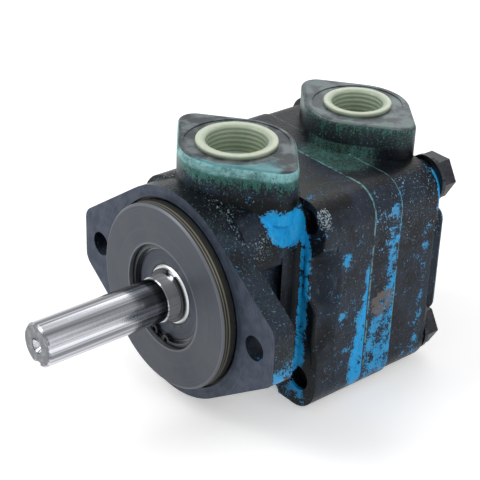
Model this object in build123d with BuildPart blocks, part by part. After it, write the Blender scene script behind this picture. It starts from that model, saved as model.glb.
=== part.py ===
"""Hydraulic vane pump on a two-bolt mounting flange, as an assembly of separate pieces.

Frame: the origin is the centre of the mounting face on the shaft axis.  The shaft points to -Y, the two
ports open to +Z, and +X is to the right of someone who faces the mounting flange.  Millimetres.
"""
import os
from math import cos, hypot, radians, sin

from build123d import *

# ---- mounting flange and pilot
pilot_radius = 41.275
pilot_length = 6.0
flange_thickness = 10.5
flange_round_radius = 47.5
ear_reach = 65.0
ear_corner_radius = 7.0
ear_half_height = 15.5
mounting_bolt_spacing = 106.4
mounting_hole_radius = 5.55
pilot_chamfer = 0.8
pilot_groove_width = 1.2
pilot_groove_depth = 1.6

# ---- block shared by the front body and the rear cover
block_half_width = 49.0
block_top = 47.5
block_bottom = -53.0
block_corner_radius = 13.0
block_front = 39.5
seam = 67.5
band_length = 16.3
band_step = 0.5
cover_rear = 110.0
bolt_inset = 10.8
bolt_half_height = 38.2
bolt_radius = 6.0
column_half_width = 12.0
wall_recess = 3.0
recess_depth = 11.0
scoop_depth = 8.0

# ---- neck between the flange and the block
neck_half_width = 35.0
neck_top = 44.0
neck_bottom = -42.0
neck_corner_radius = 16.0
pocket_floor = 28.5
pocket_top = 25.0
pocket_bottom = -28.0
pocket_setback = 3.0

# ---- ports
port_face = 62.0
inlet_station = 32.3
outlet_station = 101.7
inlet_boss_radius = 25.0
inlet_boss_half_length = 35.5
outlet_boss_radius = 23.5
outlet_boss_half_length = 33.5
boss_end_radius = 7.5
boss_root = 38.0
boss_edge_round = 2.0
inlet_bore_radius = 16.2
outlet_bore_radius = 13.2
spot_face_depth = 0.4
spot_face_margin = 5.0

# ---- lugs and mouths of the circlips
lug_angle = -100
lug_half_spread = 11
lug_margin = 0.7
lug_hole_radius = 1.1
housing_circlip_mouth = 6.0
circlip_groove_gap = 0.2
shaft_circlip_angle = 80
shaft_circlip_mouth = 5.0

# ---- small depths and drafts of the castings
overlap = 1.0
pocket_draft = 6
scoop_draft = 8
scoop_length = 34.2
scoop_width = 18.0
recess_corner_radius = 2.9
inlet_throat_width = 26.4
inlet_passage_depth = 26.0
outlet_passage_floor = 34.0
outlet_column_inset = 2.0
outlet_column_depth = 36.0
outlet_column_draft = 9
cover_edge_round = 4.0
cover_groove_depth = 1.8
seal_land_clearance = 2.0
wear_kidney_inset = 6.0

# ---- shaft
shaft_radius = 9.525
shaft_tip = 68.0
shaft_chamfer = 1.0
journal_radius = 10.0
journal_front = 9.5
seal_land_radius = 12.5
spline_root_radius = 8.2
spline_tooth_depth = 0.9
spline_teeth = 16
spline_clearance = 0.1
shaft_end_chamfer = 0.8
keyway_width = 4.76
keyway_depth = 2.5
keyway_length = 32.0
centre_hole_radius = 1.6
centre_cone_radius = 3.4
centre_hole_depth = 7.0

# ---- ball bearing (20 x 47 x 14)
bearing_bore_radius = 10.0
bearing_outer_radius = 23.5
bearing_width = 14.0
bearing_setback = 3.6
ball_radius = 3.97
ball_count = 8
ring_wall = 3.2
ball_clearance = 0.06
cage_wall = 2.2
cage_width = 9.5
shield_thickness = 0.4
shield_setback = 0.5
ring_chamfer = 0.6
housing_circlip_thickness = 1.75
housing_circlip_width = 3.2
housing_circlip_lug = 3.4
circlip_groove_depth = 1.2
shaft_circlip_thickness = 1.2
shaft_circlip_width = 1.9
shaft_circlip_groove = 0.7

# ---- shaft seal and rear bush
seal_outer_radius = 20.0
seal_width = 7.0
seal_gap = 1.2
seal_wall = 2.0
seal_lip_clearance = 0.3
garter_wire_radius = 0.8
bush_wall = 2.4
bush_length = 9.0
bush_clearance = 0.05

# ---- cartridge: wear plate, cam ring, rotor, vanes and pressure plate
cartridge_radius = 39.5
cartridge_clearance = 0.2
wear_plate_front = 44.0
wear_plate_thickness = 6.0
cam_ring_width = 24.0
cam_major_radius = 29.6
cam_minor_radius = 26.4
rotor_radius = 25.5
side_clearance = 0.1
vane_count = 12
vane_thickness = 1.8
vane_height = 9.5
vane_rest_radius = 26.0
slot_clearance = 0.05
slot_floor_gap = 0.8
slot_root_radius = 1.6
pressure_plate_rim = 8.0
pressure_plate_hub_radius = 30.0
pressure_plate_hub_length = 6.0
kidney_inner_radius = 24.6
kidney_outer_radius = 28.6
kidney_half_angle = 24.0
pin_radius = 2.5
pin_circle_radius = 34.6
pin_overlap = 1.8
pin_clearance = 0.05
plate_ring_radius = 1.3

# ---- chambers, springs, seals
inlet_chamber_radius = 23.0
inlet_chamber_front = 24.0
inlet_chamber_rear = 35.0
outlet_chamber_radius = 33.0
cover_wall = 8.0
cover_ring_radius = 1.3
cover_ring_circle = 42.6
disc_spring_count = 4
disc_spring_outer = 22.0
disc_spring_inner = 12.5
disc_spring_thickness = 1.5

# ---- cover bolts
bolt_head_height = 7.0
bolt_head_across = 18.0
bolt_washer_thickness = 2.0
bolt_washer_radius = 10.8
bolt_hole_clearance = 0.6
bolt_thread_clearance = 0.08
bolt_end_gap = 6.0
bolt_washer_clearance = 0.3
spot_face_sink = 2.0
bolt_spot_radius = 11.5

# ---- protective caps in the ports
cap_rim_height = 1.8
inlet_cap_rim_radius = 17.45
outlet_cap_rim_radius = 15.1
cap_depth = 12.0
cap_wall = 1.2
cap_clearance = 0.25

# ---- places that follow from the sizes above
bearing_front = bearing_setback - pilot_length
bearing_rear = bearing_front + bearing_width
ball_circle = (bearing_bore_radius + bearing_outer_radius) / 2
ball_station = bearing_front + bearing_width / 2
inner_ring_radius = bearing_bore_radius + ring_wall
outer_ring_radius = bearing_outer_radius - ring_wall
seal_front = bearing_rear + seal_gap
seal_rear = seal_front + seal_width
ring_front = wear_plate_front + wear_plate_thickness
ring_rear = ring_front + cam_ring_width
plate_rim_rear = ring_rear + pressure_plate_rim
plate_rear = plate_rim_rear + pressure_plate_hub_length
cover_floor = cover_rear - cover_wall
piece_radius = cartridge_radius - cartridge_clearance
band_rear = seam + band_length
bush_bore_radius = journal_radius + bush_clearance
bush_outer_radius = bush_bore_radius + bush_wall
slot_floor = vane_rest_radius - vane_height - slot_floor_gap
bolt_tip = block_front + bolt_end_gap
washer_seat = cover_rear - spot_face_sink
head_seat = washer_seat + bolt_washer_thickness
inlet_cap_bore = inlet_bore_radius - cap_clearance
outlet_cap_bore = outlet_bore_radius - cap_clearance
block_middle = (block_top + block_bottom) / 2
block_height = block_top - block_bottom
bolt_half_spread = block_half_width - bolt_inset
bolt_places = [(x * bolt_half_spread, z * bolt_half_height) for x in (-1, 1) for z in (-1, 1)]
side_gap = 2 * (bolt_half_height - column_half_width)
bottom_gap = 2 * (bolt_half_spread - column_half_width)
pocket_width = neck_half_width - pocket_floor + 2 * overlap
pocket_middle = (pocket_top + pocket_bottom) / 2
cover_half_width = block_half_width - band_step
cover_height = block_height - 2 * band_step
spline_tooth_width = spline_root_radius * radians(360 / spline_teeth) / 2
spline_front = wear_plate_front + overlap
land_rear = inlet_chamber_rear - overlap


def station(y):
    """The plane square to the shaft at y, with X to the right and Z up; a negative extrusion runs to +Y."""
    return Plane.XZ.offset(-y)


def disc(front, rear, radius):
    """Add a cylinder about the shaft axis between two stations to the open part."""
    with BuildSketch(station(front)) as section:
        Circle(radius)
    extrude(section.sketch, amount=front - rear)


def bore(front, rear, radius):
    """Cut a cylinder about the shaft axis between two stations from the open part."""
    with BuildSketch(station(front)) as section:
        Circle(radius)
    extrude(section.sketch, amount=front - rear, mode=Mode.SUBTRACT)


def spot_face(y, radius):
    """Sink a machined round seat into the port face around the port at y."""
    with BuildSketch(Plane.XY.offset(port_face - spot_face_depth)) as seat:
        with Locations((0, y)):
            Circle(radius)
    extrude(seat.sketch, amount=spot_face_depth + overlap, mode=Mode.SUBTRACT)


def kidney(angle, inner, outer):
    """Sketch a curved slot about the shaft axis, centred on an angle from +X towards +Z."""
    middle = (inner + outer) / 2
    with Locations(Rotation(0, 0, angle - kidney_half_angle)):
        SlotArc(CenterArc((0, 0), middle, 0, 2 * kidney_half_angle), outer - inner)


def save(piece, name):
    """Label a finished piece and write it as its own file."""
    piece.part.label = name
    export_step(piece.part, f"parts/{name}.step")


os.makedirs("parts", exist_ok=True)

# ---- front body: pilot, flange, neck, inlet boss and the front half of the block
with BuildPart() as front_body:
    with BuildSketch(station(0)):
        Circle(flange_round_radius)
        corner_x = ear_reach - ear_corner_radius
        corner_z = ear_half_height - ear_corner_radius
        with GridLocations(2 * corner_x, 2 * corner_z, 2, 2):
            Circle(ear_corner_radius)
        make_hull()
    extrude(amount=-flange_thickness)
    disc(-pilot_length, 0, pilot_radius)
    chamfer(front_body.faces().sort_by(Axis.Y)[0].outer_wire().edges(), pilot_chamfer)
    # relief groove in the mounting face, around the foot of the pilot
    with BuildSketch(station(0)):
        Circle(pilot_radius + pilot_groove_width)
        Circle(pilot_radius, mode=Mode.SUBTRACT)
    extrude(amount=-pilot_groove_depth, mode=Mode.SUBTRACT)
    # neck, with the hollow in each side that clears the mounting bolts
    with BuildSketch(station(flange_thickness)):
        with Locations((0, (neck_top + neck_bottom) / 2)):
            RectangleRounded(2 * neck_half_width, neck_top - neck_bottom, neck_corner_radius)
    extrude(amount=flange_thickness - block_front - overlap)
    pocket_length = block_front - flange_thickness - pocket_setback
    for side in (-1, 1):
        with BuildSketch(station(flange_thickness)):
            with Locations((side * (pocket_floor + pocket_width / 2), pocket_middle)):
                Rectangle(pocket_width, pocket_top - pocket_bottom)
        extrude(amount=-pocket_length, mode=Mode.SUBTRACT, taper=pocket_draft)
    # block: the full rounded square, with recesses between the four bolt columns at its front
    with BuildSketch(station(block_front)):
        with Locations((0, block_middle)):
            RectangleRounded(2 * block_half_width, block_height, block_corner_radius)
    extrude(amount=block_front - seam)
    with BuildSketch(station(block_front)):
        with Locations((-block_half_width, 0), (block_half_width, 0)):
            RectangleRounded(2 * wall_recess, side_gap, recess_corner_radius)
        with Locations((0, block_bottom)):
            RectangleRounded(bottom_gap, 2 * wall_recess, recess_corner_radius)
    extrude(amount=-recess_depth, mode=Mode.SUBTRACT)
    # deeper scoop in each side wall, below the upper bolt columns
    for side in (-1, 1):
        with BuildSketch(station(block_front)):
            with Locations((side * (block_half_width + overlap), side_gap / 4)):
                SlotOverall(scoop_length, scoop_width, rotation=90)
        extrude(amount=-scoop_depth, mode=Mode.SUBTRACT, taper=scoop_draft)
    # inlet boss
    with BuildSketch(Plane.XY.offset(boss_root)):
        with Locations((0, inlet_station)):
            Circle(inlet_boss_radius)
            with GridLocations(2 * (inlet_boss_half_length - boss_end_radius), 0, 2, 1):
                Circle(boss_end_radius)
        make_hull()
    extrude(amount=port_face - boss_root)
    fillet(front_body.faces().sort_by(Axis.Z)[-1].outer_wire().edges(), boss_edge_round)
    spot_face(inlet_station, inlet_cap_rim_radius + spot_face_margin)
    # inlet passage from the port to the chamber around the shaft
    with BuildSketch(Plane.XY.offset(port_face)):
        with Locations((0, inlet_station)):
            Circle(inlet_bore_radius)
    extrude(amount=-inlet_passage_depth, mode=Mode.SUBTRACT)
    with BuildSketch(Plane.XY.offset(neck_top)):
        with Locations((0, (inlet_chamber_front + inlet_chamber_rear) / 2)):
            Rectangle(inlet_throat_width, inlet_chamber_rear - inlet_chamber_front)
    extrude(amount=-neck_top, mode=Mode.SUBTRACT)
    bore(inlet_chamber_front, inlet_chamber_rear, inlet_chamber_radius)
    # bores on the shaft axis
    bore(-pilot_length, bearing_rear, bearing_outer_radius)
    groove_front = bearing_front - housing_circlip_thickness
    bore(groove_front, bearing_front, bearing_outer_radius + circlip_groove_depth)
    bore(bearing_rear, seal_rear, seal_outer_radius)
    bore(seal_rear, inlet_chamber_front, seal_land_radius + seal_land_clearance)
    bore(inlet_chamber_rear, wear_plate_front, bush_outer_radius)
    bore(wear_plate_front, seam, cartridge_radius)
    bore(seam - cover_groove_depth, seam, cover_ring_circle + cover_ring_radius)
    with BuildSketch(station(inlet_chamber_rear)):
        for angle in (135, 315):
            kidney(angle, kidney_inner_radius - wear_kidney_inset, kidney_outer_radius - wear_kidney_inset)
    extrude(amount=inlet_chamber_rear - wear_plate_front, mode=Mode.SUBTRACT)
    # fastener holes
    with BuildSketch(station(0)):
        with GridLocations(mounting_bolt_spacing, 0, 2, 1):
            Circle(mounting_hole_radius)
    extrude(amount=-flange_thickness, mode=Mode.SUBTRACT)
    with BuildSketch(station(block_front)):
        with Locations(*bolt_places):
            Circle(bolt_radius)
    extrude(amount=block_front - seam, mode=Mode.SUBTRACT)
    with BuildSketch(station(wear_plate_front)):
        with GridLocations(0, 2 * pin_circle_radius, 1, 2):
            Circle(pin_radius + pin_clearance)
    extrude(amount=pin_overlap, mode=Mode.SUBTRACT)
save(front_body, "front_body")

# ---- rear cover with the outlet boss
with BuildPart() as rear_cover:
    with BuildSketch(station(seam)):
        with Locations((0, block_middle)):
            RectangleRounded(2 * block_half_width, block_height, block_corner_radius)
    extrude(amount=-band_length)
    with BuildSketch(station(band_rear)):
        with Locations((0, block_middle)):
            RectangleRounded(2 * cover_half_width, cover_height, block_corner_radius)
    extrude(amount=band_rear - cover_rear)
    fillet(rear_cover.faces().sort_by(Axis.Y)[-1].outer_wire().edges(), cover_edge_round)
    # outlet boss, with the column under it on the rear wall
    with BuildSketch(Plane.XY.offset(boss_root)):
        with Locations((0, outlet_station)):
            Circle(outlet_boss_radius)
            with GridLocations(2 * (outlet_boss_half_length - boss_end_radius), 0, 2, 1):
                Circle(boss_end_radius)
        make_hull()
    extrude(amount=port_face - boss_root)
    fillet(rear_cover.faces().sort_by(Axis.Z)[-1].outer_wire().edges(), boss_edge_round)
    with BuildSketch(Plane.XY.offset(boss_root)):
        with Locations((0, outlet_station)):
            Circle(outlet_boss_radius - outlet_column_inset)
    extrude(amount=-outlet_column_depth, taper=outlet_column_draft)
    spot_face(outlet_station, outlet_cap_rim_radius + spot_face_margin)
    with BuildSketch(station(cover_rear - spot_face_sink)):
        with Locations(*bolt_places):
            Circle(bolt_spot_radius)
    extrude(amount=-(spot_face_sink + bolt_washer_thickness + bolt_head_height), mode=Mode.SUBTRACT)
    # outlet passage, chamber and cartridge seat
    with BuildSketch(Plane.XY.offset(port_face)):
        with Locations((0, outlet_station)):
            Circle(outlet_bore_radius)
    extrude(amount=outlet_passage_floor - port_face, mode=Mode.SUBTRACT)
    bore(seam, plate_rim_rear, cartridge_radius)
    bore(plate_rim_rear, cover_floor, outlet_chamber_radius)
    with BuildSketch(station(seam)):
        with Locations(*bolt_places):
            Circle(bolt_radius + bolt_hole_clearance)
    extrude(amount=seam - cover_rear, mode=Mode.SUBTRACT)
save(rear_cover, "rear_cover")

# ---- drive shaft
with BuildPart() as drive_shaft:
    disc(-shaft_tip, -journal_front, shaft_radius)
    chamfer(drive_shaft.edges().sort_by(Axis.Y)[0], shaft_chamfer)
    disc(-journal_front, bearing_rear, journal_radius)
    disc(bearing_rear, land_rear, seal_land_radius)
    disc(land_rear, spline_front, journal_radius)
    disc(spline_front, ring_rear + pressure_plate_rim / 2, spline_root_radius)
    with BuildSketch(station(spline_front)):
        with PolarLocations(spline_root_radius, spline_teeth):
            Rectangle(2 * spline_tooth_depth, spline_tooth_width)
    extrude(amount=spline_front - ring_rear)
    chamfer(drive_shaft.faces().sort_by(Axis.Y)[-1].outer_wire().edges(), shaft_end_chamfer)
    bore(bearing_front - shaft_circlip_thickness, bearing_front, journal_radius + 1)
    disc(bearing_front - shaft_circlip_thickness, bearing_front, journal_radius - shaft_circlip_groove)
    # keyway, open at the shaft end, with the round run-out of a milling cutter
    with BuildSketch(Plane.XY.offset(-shaft_radius + keyway_depth)):
        with Locations((0, -shaft_tip + (keyway_length - keyway_width / 2) / 2)):
            Rectangle(keyway_width, keyway_length - keyway_width / 2)
        with Locations((0, -shaft_tip + keyway_length - keyway_width / 2)):
            Circle(keyway_width / 2)
    extrude(amount=-shaft_radius, mode=Mode.SUBTRACT)
    # centre hole in the end face
    with BuildSketch(station(-shaft_tip)):
        Circle(centre_hole_radius)
    extrude(amount=-centre_hole_depth, mode=Mode.SUBTRACT)
    cone_depth = (centre_cone_radius - centre_hole_radius) * 1.7
    with BuildSketch(station(-shaft_tip)):
        Circle(centre_cone_radius)
    extrude(amount=-cone_depth, taper=30, mode=Mode.SUBTRACT)
save(drive_shaft, "drive_shaft")

# ---- front ball bearing
groove_radius = ball_radius + ball_clearance
with BuildPart() as bearing_outer_ring:
    disc(bearing_front, bearing_rear, bearing_outer_radius)
    chamfer(bearing_outer_ring.edges().filter_by(GeomType.CIRCLE), ring_chamfer)
    bore(bearing_front, bearing_rear, outer_ring_radius)
    with BuildSketch(Plane.XY):
        with Locations((ball_circle, ball_station)):
            Circle(groove_radius)
    revolve(axis=Axis.Y, mode=Mode.SUBTRACT)
save(bearing_outer_ring, "bearing_outer_ring")

with BuildPart() as bearing_inner_ring:
    disc(bearing_front, bearing_rear, inner_ring_radius)
    bore(bearing_front, bearing_rear, bearing_bore_radius)
    chamfer(bearing_inner_ring.edges().filter_by(GeomType.CIRCLE), ring_chamfer)
    with BuildSketch(Plane.XY):
        with Locations((ball_circle, ball_station)):
            Circle(groove_radius)
    revolve(axis=Axis.Y, mode=Mode.SUBTRACT)
save(bearing_inner_ring, "bearing_inner_ring")

ball_turns = [360 * index / ball_count for index in range(ball_count)]
ball_centres = [
    (ball_circle * cos(radians(turn)), ball_station, ball_circle * sin(radians(turn))) for turn in ball_turns
]
with BuildPart() as bearing_balls:
    with Locations(*ball_centres):
        Sphere(ball_radius)
save(bearing_balls, "bearing_balls")

with BuildPart() as bearing_cage:
    disc(ball_station - cage_width / 2, ball_station + cage_width / 2, ball_circle + cage_wall / 2)
    bore(ball_station - cage_width / 2, ball_station + cage_width / 2, ball_circle - cage_wall / 2)
    for turn in ball_turns:
        with BuildSketch(Plane((0, ball_station, 0), z_dir=(cos(radians(turn)), 0, sin(radians(turn))))):
            Circle(groove_radius)
        extrude(amount=ball_circle + cage_wall, mode=Mode.SUBTRACT)
save(bearing_cage, "bearing_cage")

with BuildPart() as bearing_shields:
    for front in (bearing_front + shield_setback, bearing_rear - shield_setback - shield_thickness):
        with BuildSketch(station(front)):
            Circle(outer_ring_radius)
            Circle(inner_ring_radius + 0.3, mode=Mode.SUBTRACT)
        extrude(amount=-shield_thickness)
save(bearing_shields, "bearing_shields")

# ---- circlips
circlip_reach = bearing_outer_radius + circlip_groove_depth - circlip_groove_gap
with BuildPart() as housing_circlip:
    with BuildSketch(station(groove_front)):
        Circle(circlip_reach)
        Circle(circlip_reach - housing_circlip_width, mode=Mode.SUBTRACT)
        with Locations(Rotation(0, 0, lug_angle)):
            with Locations((bearing_outer_radius, 0)):
                Rectangle(2 * housing_circlip_mouth, housing_circlip_mouth, mode=Mode.SUBTRACT)
        for side in (-1, 1):
            with Locations(Rotation(0, 0, lug_angle + side * lug_half_spread)):
                with Locations((bearing_outer_radius - housing_circlip_lug / 2, 0)):
                    Circle(housing_circlip_lug / 2 + lug_margin)
                    Circle(lug_hole_radius, mode=Mode.SUBTRACT)
    extrude(amount=-housing_circlip_thickness)
save(housing_circlip, "housing_circlip")

with BuildPart() as shaft_circlip:
    with BuildSketch(station(bearing_front - shaft_circlip_thickness)):
        Circle(journal_radius + shaft_circlip_width)
        Circle(journal_radius - shaft_circlip_groove, mode=Mode.SUBTRACT)
        with Locations(Rotation(0, 0, shaft_circlip_angle)):
            with Locations((journal_radius + overlap, 0)):
                Rectangle(shaft_circlip_mouth + overlap, shaft_circlip_mouth, mode=Mode.SUBTRACT)
    extrude(amount=-shaft_circlip_thickness)
save(shaft_circlip, "shaft_circlip")

# ---- shaft seal: a turned section with a flexible lip, and its garter spring
lip_radius = seal_land_radius + seal_lip_clearance
garter_circle = lip_radius + 1.0 + garter_wire_radius
with BuildPart() as shaft_seal:
    with BuildSketch(Plane.XY):
        with BuildLine():
            Polyline(
                (seal_outer_radius, seal_front),
                (seal_outer_radius, seal_rear),
                (seal_outer_radius - seal_wall, seal_rear),
                (seal_outer_radius - seal_wall, seal_front + seal_wall),
                (lip_radius + 1.6, seal_front + seal_wall),
                (lip_radius + 1.0, seal_rear - 1.0),
                (lip_radius, seal_rear - 1.6),
                (lip_radius + 0.8, seal_front + seal_wall),
                (lip_radius + 0.8, seal_front),
                close=True,
            )
        make_face()
    revolve(axis=Axis.Y)
save(shaft_seal, "shaft_seal")

with BuildPart() as seal_garter_spring:
    with BuildSketch(Plane.XY):
        with Locations((garter_circle + 0.35, seal_rear - 2.2)):
            Circle(garter_wire_radius)
    revolve(axis=Axis.Y)
save(seal_garter_spring, "seal_garter_spring")

with BuildPart() as rear_bush:
    bush_front = wear_plate_front - bush_length
    disc(bush_front, wear_plate_front, bush_outer_radius)
    bore(bush_front, wear_plate_front, bush_bore_radius)
save(rear_bush, "rear_bush")

# ---- cartridge
with BuildPart() as wear_plate:
    disc(wear_plate_front, ring_front, piece_radius)
    bore(wear_plate_front, ring_front, journal_radius + 1.5)
    with BuildSketch(station(wear_plate_front)):
        for angle in (135, 315):
            kidney(angle, kidney_inner_radius - wear_kidney_inset, kidney_outer_radius)
        with GridLocations(0, 2 * pin_circle_radius, 1, 2):
            Circle(pin_radius + pin_clearance)
    extrude(amount=-wear_plate_thickness, mode=Mode.SUBTRACT)
save(wear_plate, "wear_plate")

with BuildPart() as cam_ring:
    with BuildSketch(station(ring_front)):
        Circle(piece_radius)
        Ellipse(cam_major_radius, cam_minor_radius, mode=Mode.SUBTRACT)
        with GridLocations(0, 2 * pin_circle_radius, 1, 2):
            Circle(pin_radius + pin_clearance, mode=Mode.SUBTRACT)
    extrude(amount=-cam_ring_width)
save(cam_ring, "cam_ring")

vane_turns = [360 * (index + 0.5) / vane_count for index in range(vane_count)]
rotor_front = ring_front + side_clearance
rotor_rear = ring_rear - side_clearance
slot_width = vane_thickness + 2 * slot_clearance
with BuildPart() as rotor:
    disc(rotor_front, rotor_rear, rotor_radius)
    with BuildSketch(station(rotor_front)):
        Circle(spline_root_radius + spline_clearance)
        with PolarLocations(spline_root_radius, spline_teeth):
            Rectangle(2 * (spline_tooth_depth + spline_clearance), spline_tooth_width + 2 * spline_clearance)
        for turn in vane_turns:
            with Locations(Rotation(0, 0, turn)):
                with Locations(((slot_floor + rotor_radius + 1) / 2, 0)):
                    Rectangle(rotor_radius + 1 - slot_floor, slot_width)
                with Locations((slot_floor, 0)):
                    Circle(slot_root_radius)
    extrude(amount=rotor_front - rotor_rear, mode=Mode.SUBTRACT)
save(rotor, "rotor")

for number, turn in enumerate(vane_turns, start=1):
    with BuildPart() as vane:
        with BuildSketch(station(rotor_front)):
            with Locations(Rotation(0, 0, turn)):
                with Locations((vane_rest_radius - vane_height / 2, 0)):
                    Rectangle(vane_height, vane_thickness)
        extrude(amount=rotor_front - rotor_rear)
        long_edges = vane.edges().filter_by(Axis.Y)
        tip_edges = long_edges.sort_by(lambda edge: hypot(edge.center().X, edge.center().Z))[-2:]
        chamfer(tip_edges, vane_thickness / 5)
    save(vane, f"vane_{number:02d}")

with BuildPart() as pressure_plate:
    disc(ring_rear, plate_rim_rear, piece_radius)
    disc(plate_rim_rear, plate_rear, pressure_plate_hub_radius)
    bore(ring_rear, ring_rear + pressure_plate_rim / 2 + 1, journal_radius + 1)
    with BuildSketch(station(ring_rear)):
        for angle in (45, 225):
            kidney(angle, kidney_inner_radius, kidney_outer_radius)
    extrude(amount=ring_rear - plate_rear, mode=Mode.SUBTRACT)
    with BuildSketch(station(ring_rear)):
        with GridLocations(0, 2 * pin_circle_radius, 1, 2):
            Circle(pin_radius + pin_clearance)
    extrude(amount=-pin_overlap, mode=Mode.SUBTRACT)
    with BuildSketch(Plane.XY):
        with Locations((piece_radius, ring_rear + pressure_plate_rim / 2)):
            Rectangle(4 * plate_ring_radius, 2 * plate_ring_radius + 0.6)
    revolve(axis=Axis.Y, mode=Mode.SUBTRACT)
save(pressure_plate, "pressure_plate")

with BuildPart() as pressure_plate_ring:
    with BuildSketch(Plane.XY):
        with Locations((cartridge_radius - plate_ring_radius, ring_rear + pressure_plate_rim / 2)):
            Circle(plate_ring_radius - 0.05)
    revolve(axis=Axis.Y)
save(pressure_plate_ring, "pressure_plate_ring")

with BuildPart() as locating_pins:
    with BuildSketch(station(wear_plate_front - pin_overlap)):
        with GridLocations(0, 2 * pin_circle_radius, 1, 2):
            Circle(pin_radius)
    extrude(amount=wear_plate_front - pin_overlap - ring_rear - pin_overlap)
save(locating_pins, "locating_pins")

spring_room = cover_floor - plate_rear
disc_rise = spring_room / disc_spring_count - disc_spring_thickness
with BuildPart() as disc_springs:
    for index in range(disc_spring_count):
        foot = plate_rear + index * spring_room / disc_spring_count
        inner_lift, outer_lift = (disc_rise, 0) if index % 2 == 0 else (0, disc_rise)
        with BuildSketch(Plane.XY):
            with BuildLine():
                Polyline(
                    (disc_spring_inner, foot + inner_lift),
                    (disc_spring_outer, foot + outer_lift),
                    (disc_spring_outer, foot + outer_lift + disc_spring_thickness),
                    (disc_spring_inner, foot + inner_lift + disc_spring_thickness),
                    close=True,
                )
            make_face()
        revolve(axis=Axis.Y)
save(disc_springs, "disc_springs")

# ---- static seals, bolts and washers
with BuildPart() as cover_seal_ring:
    with BuildSketch(Plane.XY):
        with Locations((cover_ring_circle - 0.5, seam - 0.9)):
            Rectangle(2 * cover_ring_radius, 1.7)
    revolve(axis=Axis.Y)
save(cover_seal_ring, "cover_seal_ring")

with BuildPart() as bolt_washers:
    for place in bolt_places:
        with BuildSketch(station(washer_seat)):
            with Locations(place):
                Circle(bolt_washer_radius)
                Circle(bolt_radius + bolt_washer_clearance, mode=Mode.SUBTRACT)
        extrude(amount=-bolt_washer_thickness)
save(bolt_washers, "bolt_washers")

with BuildPart() as cover_bolts:
    for place in bolt_places:
        with BuildSketch(station(bolt_tip)):
            with Locations(place):
                Circle(bolt_radius - bolt_thread_clearance)
        extrude(amount=bolt_tip - head_seat)
        with BuildSketch(station(head_seat)):
            with Locations(place):
                RegularPolygon(bolt_head_across / 2, 6, major_radius=False)
        extrude(amount=-bolt_head_height)
save(cover_bolts, "cover_bolts")


def port_cap(y, rim_radius, plug_radius):
    """Build a thin flanged cup that plugs the port at y."""
    with BuildPart() as cap:
        seat = port_face - spot_face_depth
        with BuildSketch(Plane.XY.offset(seat)):
            with Locations((0, y)):
                Circle(rim_radius)
        extrude(amount=cap_rim_height)
        fillet(cap.edges().filter_by(GeomType.CIRCLE).sort_by(Axis.Z)[-1], cap_rim_height / 3)
        with BuildSketch(Plane.XY.offset(seat)):
            with Locations((0, y)):
                Circle(plug_radius)
        extrude(amount=-cap_depth)
        with BuildSketch(Plane.XY.offset(seat + cap_rim_height)):
            with Locations((0, y)):
                Circle(plug_radius - cap_wall)
        extrude(amount=cap_wall - cap_depth - cap_rim_height, mode=Mode.SUBTRACT)
    return cap


save(port_cap(inlet_station, inlet_cap_rim_radius, inlet_cap_bore), "inlet_cap")
save(port_cap(outlet_station, outlet_cap_rim_radius, outlet_cap_bore), "outlet_cap")
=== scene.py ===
"""Looks of the hydraulic vane pump: worn castings, steel, bearing and port caps, in its solids' frame."""
from math import cos, pi, radians, sin

import bpy
import numpy as np
from mathutils import Matrix, Vector


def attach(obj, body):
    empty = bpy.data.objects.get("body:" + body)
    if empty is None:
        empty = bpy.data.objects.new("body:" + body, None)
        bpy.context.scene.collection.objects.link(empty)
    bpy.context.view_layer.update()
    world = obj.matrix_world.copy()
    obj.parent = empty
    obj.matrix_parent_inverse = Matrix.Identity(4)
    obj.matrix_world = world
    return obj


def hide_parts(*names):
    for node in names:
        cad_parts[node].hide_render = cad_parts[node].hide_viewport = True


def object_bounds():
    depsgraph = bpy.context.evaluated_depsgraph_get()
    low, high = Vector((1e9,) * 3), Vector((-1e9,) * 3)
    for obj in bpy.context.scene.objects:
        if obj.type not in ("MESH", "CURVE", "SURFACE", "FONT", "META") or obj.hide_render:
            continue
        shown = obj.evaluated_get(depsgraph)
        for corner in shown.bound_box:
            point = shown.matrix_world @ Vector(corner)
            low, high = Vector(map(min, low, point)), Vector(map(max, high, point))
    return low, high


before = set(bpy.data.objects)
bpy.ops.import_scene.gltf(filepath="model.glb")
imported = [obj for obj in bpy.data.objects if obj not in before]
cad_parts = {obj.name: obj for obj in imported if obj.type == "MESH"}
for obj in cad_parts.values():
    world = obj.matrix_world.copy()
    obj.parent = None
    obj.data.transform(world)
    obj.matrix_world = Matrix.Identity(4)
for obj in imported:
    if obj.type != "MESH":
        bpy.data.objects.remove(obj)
cad_low, cad_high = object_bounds()
scene = bpy.context.scene
scene.view_settings.view_transform = "Standard"
MM = 0.001

# Stations along the shaft, heights, half width and radii of the solids, in millimetres.
FLANGE_REAR, BLOCK_FRONT, SEAM, COVER_REAR = 10.5, 39.5, 67.5, 110.0
SIDE, BLOCK_TOP, PORT_SEAT = 49.0, 47.5, 61.6
INLET_Y, OUTLET_Y, INLET_BORE, OUTLET_BORE = 32.3, 101.7, 16.2, 13.2
PILOT_LENGTH, EAR_HOLE = 5.2, 53.2
THREAD_PITCH, RIB_PITCH = 1.9, 2.1


# ---------------------------------------------------------------- finishes
def tint(code):
    """Linear colour of a six-digit code such as "3a3c42"."""
    parts = [int(code[i:i + 2], 16) / 255 for i in (0, 2, 4)]
    linear = [p / 12.92 if p <= 0.04045 else ((p + 0.055) / 1.055) ** 2.4 for p in parts]
    return (*linear, 1.0)


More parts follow.
